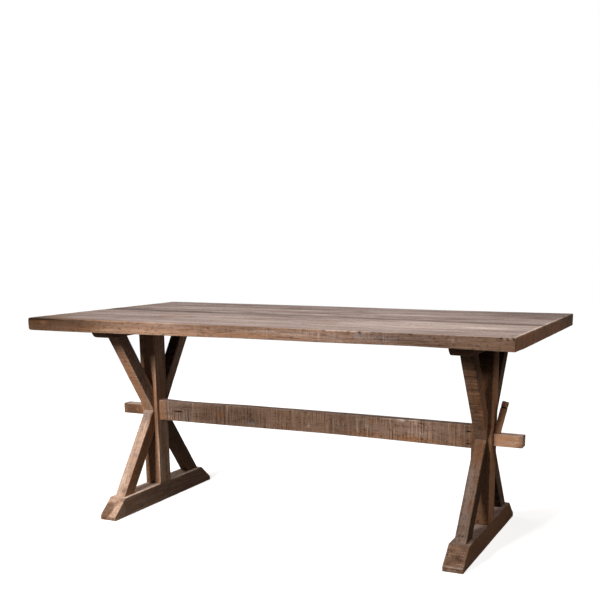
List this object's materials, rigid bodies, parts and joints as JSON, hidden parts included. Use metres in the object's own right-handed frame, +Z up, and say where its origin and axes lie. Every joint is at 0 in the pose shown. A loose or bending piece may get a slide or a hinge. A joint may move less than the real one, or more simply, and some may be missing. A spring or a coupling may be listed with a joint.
{
  "type": "sawbuck table",
  "caption": "Trestle dining table with a thick boarded top, a braced post and struts at each end, and a stretcher with wedged through tenons.",
  "frame": {"origin": "on the floor, under the middle of the table", "axes": "+X along the table's length, -Y to the front, +Z up"},
  "size_m": [1.74, 0.9, 0.76],
  "materials": {
    "top_boards": "weathered, dull wax",
    "frame_timber": "brown stained, dull wax",
    "strut_timber": "band-sawn, brown stained",
    "stretcher_timber": "band-sawn, weathered",
    "wedge_timber": "brown stained, dull wax",
    "nail_steel": "dark, slightly rusted",
    "screw_steel": "zinc plated"
  },
  "bodies": {
    "table": {"plank_1": "top_boards", "plank_2": "top_boards", "plank_3": "top_boards", "plank_4": "top_boards", "plank_5": "top_boards", "plank_6": "top_boards", "plank_7": "top_boards", "plank_8": "top_boards", "foot_left": "frame_timber", "post_left": "frame_timber", "bearer_left": "frame_timber", "strut_left_upper_front": "strut_timber", "strut_left_upper_back": "strut_timber", "strut_left_lower_front": "strut_timber", "strut_left_lower_back": "strut_timber", "nails_left": "nail_steel", "screws_left": "screw_steel", "foot_right": "frame_timber", "post_right": "frame_timber", "bearer_right": "frame_timber", "strut_right_upper_front": "strut_timber", "strut_right_upper_back": "strut_timber", "strut_right_lower_front": "strut_timber", "strut_right_lower_back": "strut_timber", "nails_right": "nail_steel", "screws_right": "screw_steel", "stretcher": "stretcher_timber"},
    "tusk_left_body": {"tusk_left": "wedge_timber"},
    "tusk_right_body": {"tusk_right": "wedge_timber"}
  },
  "joints": [
    {"name": "tusk_left_slide", "type": "slide", "parent": "table", "child": "tusk_left_body", "axis": [-0.2164, 0, 0.9763], "range_m": [0, 0.04]},
    {"name": "tusk_right_slide", "type": "slide", "parent": "table", "child": "tusk_right_body", "axis": [0.2164, 0, 0.9763], "range_m": [0, 0.04]}
  ]
}
